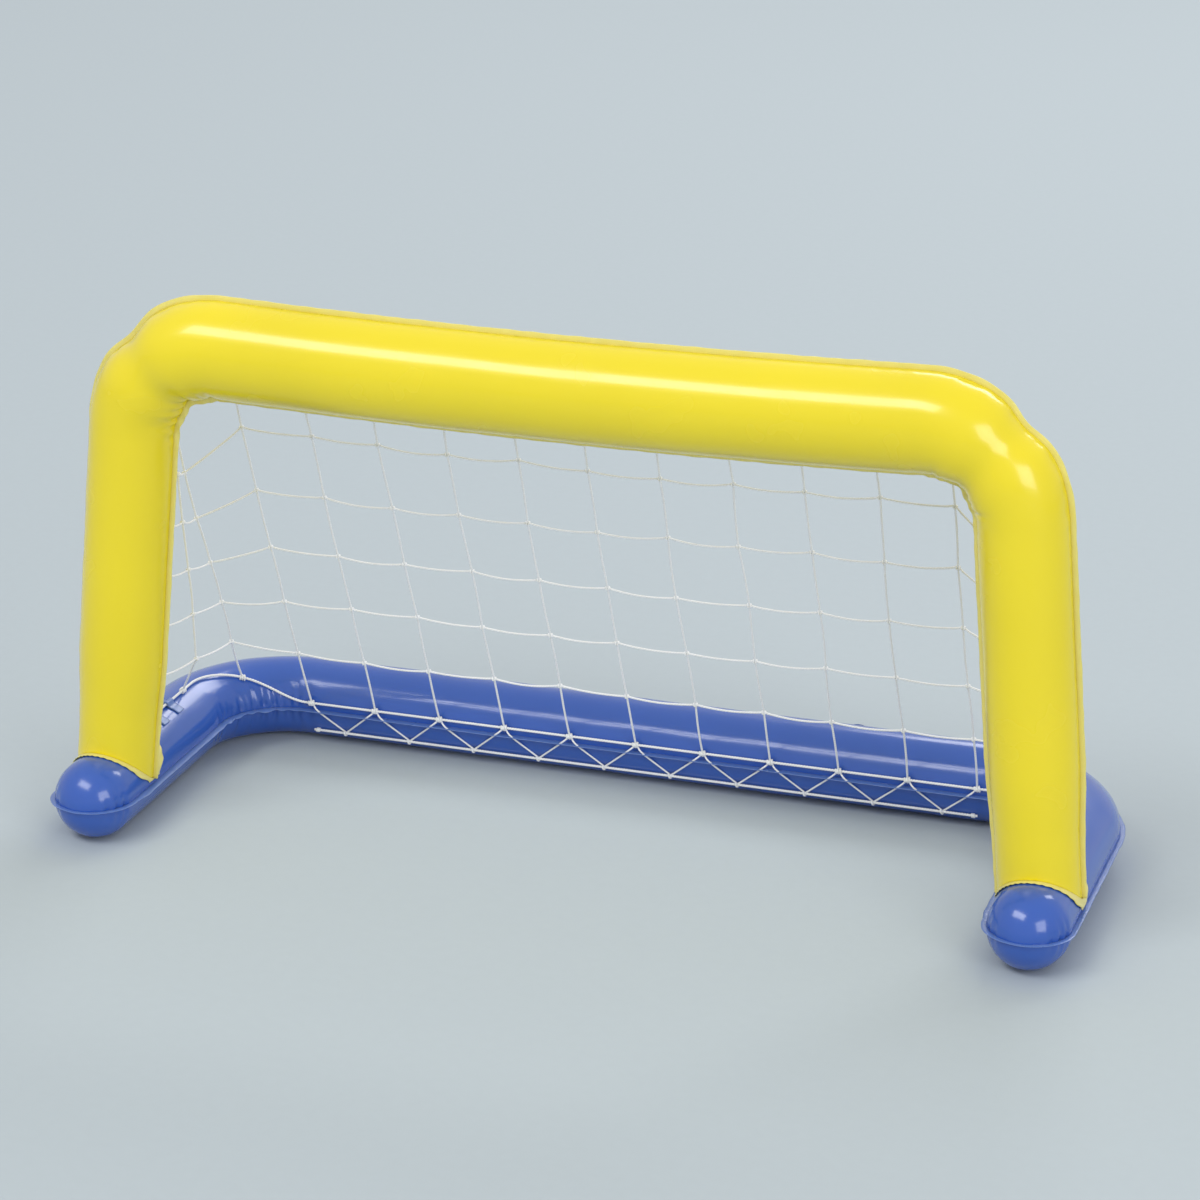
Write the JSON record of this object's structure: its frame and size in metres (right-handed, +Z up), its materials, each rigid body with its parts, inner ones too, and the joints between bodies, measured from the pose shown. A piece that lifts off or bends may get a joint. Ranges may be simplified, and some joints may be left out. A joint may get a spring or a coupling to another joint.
{
  "type": "inflatable water polo goal",
  "caption": "Inflatable floating goal: an upright tubular arch welded to a U-shaped tubular base, with a knotted net laced between them and a push-in air valve in each chamber.",
  "frame": {"origin": "on the floor, under the middle of the whole goal's bounding box", "axes": "+Z up, +X along the crossbar to the right as seen from the front, +Y from the goal's mouth to its back tube"},
  "size_m": [1.42, 0.574, 0.76],
  "materials": {
    "yellow_vinyl": "glossy opaque yellow PVC film, drawn tight by air",
    "pale_yellow_vinyl": "welded PVC film, paler and slightly translucent yellow",
    "blue_vinyl": "glossy opaque royal blue PVC film, drawn tight by air",
    "pale_blue_vinyl": "welded PVC film, paler blue",
    "clear_vinyl": "soft milky clear PVC",
    "white_cord": "white twisted synthetic cord, knotted into square meshes"
  },
  "bodies": {
    "goal": {"base_chamber": "blue_vinyl", "base_weld_margin": "pale_blue_vinyl", "arch_chamber": "yellow_vinyl", "arch_outer_weld_margin": "pale_yellow_vinyl", "arch_inner_weld_margin": "pale_yellow_vinyl", "left_post_weld_ring": "pale_yellow_vinyl", "right_post_weld_ring": "pale_yellow_vinyl", "net_back": "white_cord", "net_left_side": "white_cord", "net_right_side": "white_cord", "net_border_rope": "white_cord", "net_foot_rope": "white_cord", "net_lower_rope": "white_cord", "net_lacing": "white_cord", "crossbar_rope_keeper_1": "pale_yellow_vinyl", "crossbar_rope_keeper_2": "pale_yellow_vinyl", "crossbar_rope_keeper_3": "pale_yellow_vinyl", "crossbar_rope_keeper_4": "pale_yellow_vinyl", "left_post_rope_keeper_1": "pale_yellow_vinyl", "left_post_rope_keeper_2": "pale_yellow_vinyl", "left_arm_rope_keeper_1": "pale_blue_vinyl", "left_arm_rope_keeper_2": "pale_blue_vinyl", "right_post_rope_keeper_1": "pale_yellow_vinyl", "right_post_rope_keeper_2": "pale_yellow_vinyl", "right_arm_rope_keeper_1": "pale_blue_vinyl", "right_arm_rope_keeper_2": "pale_blue_vinyl", "arch_valve_flange": "yellow_vinyl", "base_valve_flange": "blue_vinyl"},
    "arch_valve": {"arch_valve_stem": "clear_vinyl", "arch_valve_flap": "clear_vinyl"},
    "arch_plug": {"arch_valve_plug": "clear_vinyl"},
    "base_valve": {"base_valve_stem": "clear_vinyl", "base_valve_flap": "clear_vinyl"},
    "base_plug": {"base_valve_plug": "clear_vinyl"}
  },
  "joints": [
    {"name": "arch_valve_push", "type": "slide", "parent": "goal", "child": "arch_valve", "axis": [0.3812, 0.9239, 0.0332], "range_m": [0, 0.012]},
    {"name": "arch_plug_hinge", "type": "hinge", "parent": "arch_valve", "child": "arch_plug", "pos_m": [0.64864, -0.09781, 0.3206], "axis": [-0.9204, 0.3827, -0.08], "range_deg": [0, 150]},
    {"name": "base_valve_push", "type": "slide", "parent": "goal", "child": "base_valve", "axis": [0, 0.7071, 0.7071], "range_m": [0, 0.012]},
    {"name": "base_plug_hinge", "type": "hinge", "parent": "base_valve", "child": "base_plug", "pos_m": [0.3115, 0.26594, 0.09544], "axis": [0, 0.7071, -0.7071], "range_deg": [0, 150]}
  ]
}
